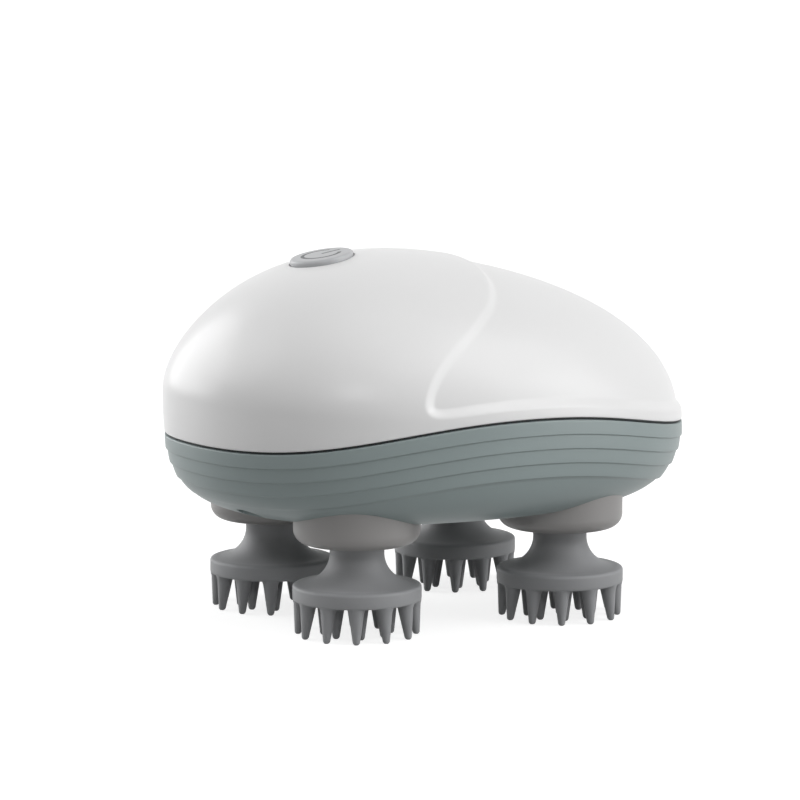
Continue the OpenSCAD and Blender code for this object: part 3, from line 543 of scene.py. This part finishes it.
def lower_shell():
    """The bowl with its bosses, the collars' holes and the charging port's recess."""
    shell = bowl_skin()
    half, low, high = COVER_W / 2, PORT_Z - COVER_H / 2, PORT_Z + COVER_H / 2
    bosses = [cylinder(BOSS_R, BASE_Z, 40, p, 48) for p in SCREWS]
    bosses.append(block((PORT_X - 5, -half - 2.4, low - 2.3), (PORT_X + 1.2, half + 2.4, high + 1.2)))
    bosses = joined(bosses)
    boolean(bosses, bowl_solid(0.8), "INTERSECT")
    boolean(shell, bosses, "UNION")
    cuts = [cylinder(COLLAR_R + 0.06, 0, COLLAR_TOP + 0.2, p, 128) for p in CORNERS.values()]
    cuts += [cylinder(BOSS_BORE_R, 0, BOSS_SHELF, p, 48) for p in SCREWS]
    boolean(shell, joined(cuts), "DIFFERENCE")
    recess = block((PORT_X, -half - 0.2, low - 0.9), (PORT_X + 9, half + 0.2, high + 0.3))
    bevel(recess, 0.5, 3)
    boolean(shell, recess, "DIFFERENCE")
    boolean(shell, along_x(cylinder(3.3, -9, 3, (0, 0), 64), PORT_X, 0, PORT_Z), "DIFFERENCE")
    return place_piece(shell, "housing", "lower_shell", "lower_shell")


# ---------------------------------------------------------------- collars and heads
def collar(corner):
    x, y = CORNERS[corner]
    hole, web, flange = NECK_R + 0.6, COLLAR_Z + 2.8, COLLAR_Z + 8.4
    profile = [(hole, COLLAR_Z + 3.05), (hole, COLLAR_Z + 0.35)]
    profile += arc(hole + 0.35, COLLAR_Z + 0.35, 0.35, 180, 270, 5)[1:]
    profile += arc(COLLAR_R - 3.2, COLLAR_Z + 3.2, 3.2, -90, 0, 14)
    profile += [(COLLAR_R, flange), (COLLAR_R, COLLAR_TOP - 0.3), (COLLAR_R - 0.3, COLLAR_TOP),
                (COLLAR_R - 2, COLLAR_TOP), (COLLAR_R - 2, web), (FLANGE_SEAT_R, web),
                (FLANGE_SEAT_R, flange), (BUSH_SEAT_R, flange), (BUSH_SEAT_R, COLLAR_Z + 3.05)]
    cup = lathe(f"collar_cup_{corner}", profile, 128, (x, y, 0), closed=True)
    return place_piece(cup, "housing", "collar", f"collar_{corner}")


def head_body(corner):
    x, y = CORNERS[corner]
    top, neck_top = FINGER_L + DISC_T, COLLAR_Z + 1
    flare_z, flare_r = 18.3, DISC_R - 1.0
    profile = [(0, FINGER_L), (5, FINGER_L), (DISC_R - 1.2, FINGER_L)]
    profile += arc(DISC_R - 0.45, FINGER_L + 0.45, 0.45, -90, 0, 5)
    profile += arc(DISC_R - 0.75, top - 0.75, 0.75, 0, 90, 8)
    profile += [
        (flare_r - (flare_r - NECK_R) * math.cos(a), flare_z - (flare_z - top - 0.12) * math.sin(a))
        for a in np.linspace(math.pi / 2, 0, 22)
    ]
    profile += arc(NECK_R - 0.3, neck_top - 0.3, 0.3, 0, 90, 4)
    profile += [(3.95, neck_top), (3.95, 9.95), (0, 9.95)]
    return lathe(f"head_{corner}_silicone", profile, 128, (x, y, 0))


def finger(angle, base, tip, place):
    """One soft finger from its round tip on the table to its filleted root on the disc."""
    centre_z, root_z = FINGER_TIP_R - 0.1, FINGER_L + 0.2
    profile = [(0, -FINGER_TIP_R)]
    profile += arc(0, 0, FINGER_TIP_R, -75, 0, 6)
    length = root_z - centre_z
    for u in np.linspace(0.1, 0.85, 7):
        profile.append((FINGER_TIP_R + (FINGER_BASE_R - FINGER_TIP_R) * u, length * u))
    for a in (0, 25, 50, 70, 85):
        r = FINGER_BASE_R + 0.75 * (1 - math.cos(math.radians(a)))
        profile.append((r, length * 0.9 + (length * 0.1) * math.sin(math.radians(a))))
    profile.append((0, length))
    tip_point = profile[0][1]
    rings = lathe_points(profile[1:-1], 20)
    slope = (base - tip) / length
    moved = []
    for ring in rings:
        p = ring.copy()
        p[:, 0] += tip + p[:, 2] * slope
        p[:, 2] = np.maximum(p[:, 2] + centre_z, 0)
        radius = np.hypot(p[:, 0], p[:, 1])
        keep = np.minimum(1, (DISC_R - 0.06) / np.maximum(radius, 1e-6))
        p[:, :2] *= keep[:, None]
        moved.append(p)
    first = np.array([tip, 0, max(0, tip_point + centre_z)])
    last = np.array([base, 0, root_z])
    c, s = math.cos(angle), math.sin(angle)
    turn = np.array([[c, s, 0], [-s, c, 0], [0, 0, 1]])
    spot = np.array([place[0], place[1], 0])
    rings = [p @ turn + spot for p in moved]
    return rings_object("finger", rings, first @ turn + spot, last @ turn + spot)


def head(corner):
    place = CORNERS[corner]
    pieces = [head_body(corner)]
    for i in range(OUTER_FINGERS):
        turn = 2 * math.pi * i / OUTER_FINGERS
        pieces.append(finger(turn, DISC_R - FINGER_BASE_R - 0.2, DISC_R - 1.3, place))
    for i in range(INNER_FINGERS):
        turn = 2 * math.pi * (i + 0.5) / INNER_FINGERS
        pieces.append(finger(turn, DISC_R / 2, DISC_R / 2 + 0.3, place))
    pieces.append(finger(0, 0, 0, place))
    whole = joined(pieces)
    whole.name = f"head_{corner}_silicone"
    return place_piece(whole, f"head_{corner}", "head", f"head_{corner}")


# ---------------------------------------------------------------- power button
SYMBOL_R, SYMBOL_OPENING, SYMBOL_BAR = 4.25, 34, (0.2, 4.9)  # millimetres, and degrees either side
GROOVE = 0.03  # depth of the symbol in the button's top


def symbol_distance(x, y):
    """Distance to the strokes of a power symbol whose bar points to the tail."""
    ring_r, opening, bar = SYMBOL_R, math.radians(SYMBOL_OPENING), SYMBOL_BAR
    angle = np.abs(np.arctan2(y, x))
    r = np.hypot(x, y)
    end = ring_r * np.array([math.cos(opening), math.sin(opening)])
    ring = np.where(angle > opening, np.abs(r - ring_r), np.hypot(x - end[0], np.abs(y) - end[1]))
    stem = np.hypot(x - np.clip(x, *bar), y)
    return np.minimum(ring, stem)


def button_top(r):
    return 0.7 + 0.15 * (1 - (r / BUTTON_R) ** 2)


def power_button():
    m = button_matrix()
    rim = BUTTON_R - 0.7
    rings = []
    for r in np.linspace(0, rim, 66)[1:]:
        a = np.linspace(0, 2 * np.pi, 200, endpoint=False)
        x, y = r * np.cos(a), r * np.sin(a)
        cut = np.clip((0.44 - symbol_distance(x, y)) / 0.1, 0, 1)
        rings.append(np.stack([x, y, button_top(r) - GROOVE * cut * cut * (3 - 2 * cut)], axis=-1))
    edge = arc(BUTTON_R - 0.7, button_top(rim) - 0.7, 0.7, 88, 0, 8)
    flange_r, flange, stem_r, stem = 8.5, -4.75, 1.6, -9.1
    skirt = edge + [(BUTTON_R, -3), (BUTTON_R, flange + 0.05), (flange_r, flange), (flange_r, -5.7),
                    (stem_r, -5.75), (stem_r, stem)]
    rings += lathe_points(skirt, 200)
    bottom, top = np.array([0, 0, stem]), np.array([0, 0, button_top(0) - GROOVE])
    cap = rings_object("button_cap", rings[::-1], bottom, top)
    turned(cap, m)
    place_piece(cap, "power_button", "power_button", "power_button")
    strokes = [stroke(s) for s in symbol_strokes()]
    inlay = turned(joined(strokes), m)
    inlay.name = "button_symbol"
    return place_piece(inlay, "power_button", "power_button", look="button_symbol")


def symbol_strokes():
    """The middle lines of the symbol's open ring and of its bar."""
    turns = np.linspace(math.radians(SYMBOL_OPENING), math.radians(360 - SYMBOL_OPENING), 90)
    ring = [SYMBOL_R * np.array([math.cos(a), math.sin(a)]) for a in turns]
    bar = [np.array([x, 0.0]) for x in np.linspace(*SYMBOL_BAR, 12)]
    return [ring, bar]


def stroke(points):
    """A flat ribbon along points, sunk a little into the button's top."""
    half, depth = 0.42, GROOVE - 0.02
    p = np.array(points)
    d = np.gradient(p, axis=0)
    side = np.stack([-d[:, 1], d[:, 0]], axis=-1) / np.linalg.norm(d, axis=1)[:, None]
    verts, faces = [], []
    for k in range(len(p)):
        for s in (-half, half):
            x, y = p[k] + s * side[k]
            verts.append((x, y, button_top(math.hypot(x, y)) - depth))
    for k in range(len(p) - 1):
        faces.append((2 * k, 2 * k + 2, 2 * k + 3, 2 * k + 1))
    return mesh_object("stroke", verts, faces)


# ---------------------------------------------------------------- port cover
def port_cover():
    x0 = PORT_X + 0.2
    z0 = PORT_Z - COVER_H / 2
    low, high = (x0, -COVER_W / 2, z0 + COVER_T / 2), (x0 + COVER_T, COVER_W / 2, z0 + COVER_H)
    flap = block(low, high, "port_flap")
    bevel(flap, 0.45, 4)
    knuckle = along_y(cylinder(COVER_T / 2, -COVER_W / 2, COVER_W / 2, (0, 0), 32), *HINGE)
    pin = along_y(cylinder(0.6, -COVER_W / 2 - 1, COVER_W / 2 + 1, (0, 0), 24), *HINGE)
    flap = joined([flap, knuckle, pin])
    return place_piece(flap, "port_cover", "port_cover", "port_cover")


# ---------------------------------------------------------------- studio
CAMERA_AZ, CAMERA_EL = -30.0, 8.0
CAMERA_DISTANCE = 900.0
PIXELS_PER_MM = 4.37
TARGET = Vector((-4.0, 0, 45.0))
TARGET_PIXEL = (410.2, 415.0)
FRAME_PIXELS = 800.0

# Wide soft lamps: degrees to the camera's right, degrees up, strength and angle across
SOFTBOXES = (
    ("strip_behind_left", -120, 14, 2.0, 55),
    ("left", -85, 42, 0.6, 40),
    ("right_low", 80, 12, 1.08, 40),
    ("right", 80, 42, 0.78, 40),
    ("front_right", 50, 40, 0.36, 40),
    ("top", 45, 70, 0.52, 50),
    ("patch", 3.4, 28.7, 0.3, 12),
)


def camera():
    data = bpy.data.cameras.new("camera")
    cam = bpy.data.objects.new("camera", data)
    bpy.context.scene.collection.objects.link(cam)
    a, e = math.radians(CAMERA_AZ), math.radians(CAMERA_EL)
    back = Vector((math.sin(a) * math.cos(e), -math.cos(a) * math.cos(e), math.sin(e)))
    cam.location = (TARGET + back * CAMERA_DISTANCE) * MM
    cam.rotation_mode = "QUATERNION"
    cam.rotation_quaternion = (-back).to_track_quat("-Z", "Y")
    data.sensor_width = 36.0
    data.lens = 36.0 * PIXELS_PER_MM * CAMERA_DISTANCE / FRAME_PIXELS
    data.shift_x = (FRAME_PIXELS / 2 - TARGET_PIXEL[0]) / FRAME_PIXELS
    data.shift_y = (TARGET_PIXEL[1] - FRAME_PIXELS / 2) / FRAME_PIXELS
    data.clip_start, data.clip_end = 0.01, 20
    bpy.context.scene.camera = cam


def seen_white(nodes, links):
    """A factor that is 1 for what the camera, a reflection or a clear part looks at directly."""
    path = nodes.new("ShaderNodeLightPath")
    first = nodes.new("ShaderNodeMath")
    first.operation = "MAXIMUM"
    second = nodes.new("ShaderNodeMath")
    second.operation = "MAXIMUM"
    links.new(path.outputs["Is Camera Ray"], first.inputs[0])
    links.new(path.outputs["Is Glossy Ray"], first.inputs[1])
    links.new(first.outputs[0], second.inputs[0])
    links.new(path.outputs["Is Transmission Ray"], second.inputs[1])
    return second.outputs[0]


def studio():
    scene = bpy.context.scene
    scene.view_settings.view_transform = "Standard"
    world = bpy.data.worlds.new("studio")
    scene.world = world
    world.use_nodes = True
    nodes, links = world.node_tree.nodes, world.node_tree.links
    light = nodes["Background"]
    light.inputs["Color"].default_value = (1, 1, 1, 1)
    light.inputs["Strength"].default_value = 0.02
    shown = nodes.new("ShaderNodeBackground")
    shown.inputs["Color"].default_value = (1, 1, 1, 1)
    shown.inputs["Strength"].default_value = 1.0
    mix = nodes.new("ShaderNodeMixShader")
    links.new(seen_white(nodes, links), mix.inputs["Fac"])
    links.new(light.outputs[0], mix.inputs[1])
    links.new(shown.outputs[0], mix.inputs[2])
    links.new(mix.outputs[0], nodes["World Output"].inputs["Surface"])

    far = 4000
    corners = [(-far, -far, 0), (far, -far, 0), (far, far, 0), (-far, far, 0)]
    floor = mesh_object("floor", corners, [(0, 1, 2, 3)])
    mat = bpy.data.materials.new("pale_floor")
    mat.use_nodes = True
    nodes, links = mat.node_tree.nodes, mat.node_tree.links
    shader = nodes["Principled BSDF"]
    shader.inputs["Base Color"].default_value = (0.4, 0.4, 0.4, 1)
    shader.inputs["Roughness"].default_value = 0.7
    shader.inputs["Specular IOR Level"].default_value = 0.2
    glow = nodes.new("ShaderNodeEmission")
    glow.inputs["Color"].default_value = (1, 1, 1, 1)
    glow.inputs["Strength"].default_value = 0.8
    both = nodes.new("ShaderNodeAddShader")
    pick = nodes.new("ShaderNodeMixShader")
    links.new(seen_white(nodes, links), pick.inputs["Fac"])
    links.new(shader.outputs[0], both.inputs[0])
    links.new(glow.outputs[0], both.inputs[1])
    links.new(shader.outputs[0], pick.inputs[1])
    links.new(both.outputs[0], pick.inputs[2])
    links.new(pick.outputs[0], nodes["Material Output"].inputs["Surface"])
    floor.data.materials.append(mat)

    for name, turn, height, strength, spread in SOFTBOXES:
        data = bpy.data.lights.new(name, "SUN")
        data.energy, data.angle = strength, math.radians(spread)
        lamp = bpy.data.objects.new(name, data)
        scene.collection.objects.link(lamp)
        a, e = math.radians(CAMERA_AZ + turn), math.radians(height)
        toward = Vector((math.sin(a) * math.cos(e), -math.cos(a) * math.cos(e), math.sin(e)))
        lamp.rotation_euler = (-toward).to_track_quat("-Z", "Y").to_euler()


dress_nodes()
upper_shell()
lower_shell()
seam_gasket()
for corner in CORNERS:
    collar(corner)
    head(corner)
power_button()
port_cover()
studio()
camera()
